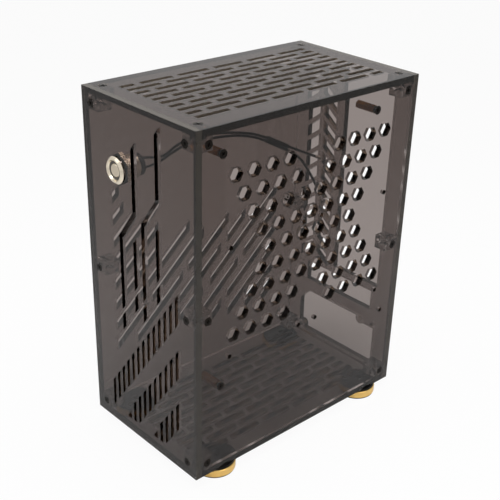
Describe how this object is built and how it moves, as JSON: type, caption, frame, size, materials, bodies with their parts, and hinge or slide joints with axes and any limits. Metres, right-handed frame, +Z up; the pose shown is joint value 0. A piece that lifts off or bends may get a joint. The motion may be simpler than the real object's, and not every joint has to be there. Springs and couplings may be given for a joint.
{
  "type": "mini itx pc case",
  "caption": "Small upright mini-ITX tower case of smoked acrylic sheets on joining cubes, with vent cut-outs, steel push button and round ringed feet",
  "frame": {"origin": "middle of the footprint, on the surface that the feet stand on", "axes": "+X to the right seen from the front, +Y from front to rear, +Z up"},
  "size_m": [0.1168, 0.1935, 0.249],
  "materials": {
    "smoked_acrylic": "smoked acrylic sheet, laser cut, polished faces",
    "acrylic_cube": "smoked acrylic cubes, cut and tapped",
    "black_screw": "black oxide steel screws",
    "brass": "turned brass",
    "foot_base": "black anodised base",
    "gold_ring": "gold plated ring, satin",
    "rubber_pad": "black rubber",
    "button_steel": "turned stainless steel",
    "button_cap": "turned stainless steel cap",
    "light_ring": "unlit translucent ring",
    "black_plastic": "black moulded plastic",
    "lead_insulation": "black flexible insulation",
    "tinned_metal": "tinned contact metal"
  },
  "bodies": {
    "case": {"board_standoffs": "brass", "bottom_panel": "smoked_acrylic", "bottom_panel_screws": "black_screw", "foot_screws": "black_screw", "front_left_foot_base": "foot_base", "front_left_foot_pad": "rubber_pad", "front_left_foot_ring": "gold_ring", "front_left_lower_block": "acrylic_cube", "front_left_middle_block": "acrylic_cube", "front_left_upper_block": "acrylic_cube", "front_panel": "smoked_acrylic", "front_panel_screws": "black_screw", "front_right_foot_base": "foot_base", "front_right_foot_pad": "rubber_pad", "front_right_foot_ring": "gold_ring", "front_right_lower_block": "acrylic_cube", "front_right_middle_block": "acrylic_cube", "front_right_upper_block": "acrylic_cube", "lead_sleeve": "black_plastic", "left_panel": "smoked_acrylic", "left_panel_screws": "black_screw", "light_lead": "lead_insulation", "light_lead_crimp": "tinned_metal", "power_button_bezel": "button_steel", "power_button_contact_block": "black_plastic", "power_button_gasket": "rubber_pad", "power_button_light_ring": "light_ring", "power_button_nut": "button_steel", "rear_left_foot_base": "foot_base", "rear_left_foot_pad": "rubber_pad", "rear_left_foot_ring": "gold_ring", "rear_left_lower_block": "acrylic_cube", "rear_left_middle_block": "acrylic_cube", "rear_left_upper_block": "acrylic_cube", "rear_panel": "smoked_acrylic", "rear_panel_screws": "black_screw", "rear_right_foot_base": "foot_base", "rear_right_foot_pad": "rubber_pad", "rear_right_foot_ring": "gold_ring", "rear_right_lower_block": "acrylic_cube", "rear_right_middle_block": "acrylic_cube", "rear_right_upper_block": "acrylic_cube", "right_panel": "smoked_acrylic", "right_panel_screws": "black_screw", "standoff_screws": "black_screw", "switch_lead": "lead_insulation", "switch_lead_crimp": "tinned_metal", "top_panel": "smoked_acrylic", "top_panel_screws": "black_screw"},
    "power_button": {"power_button_cap": "button_cap"}
  },
  "joints": [
    {"name": "power_button_press", "type": "slide", "parent": "case", "child": "power_button", "axis": [0, 1, 0], "range_m": [0, 0.0015], "stiffness_N_per_m": 2500}
  ]
}
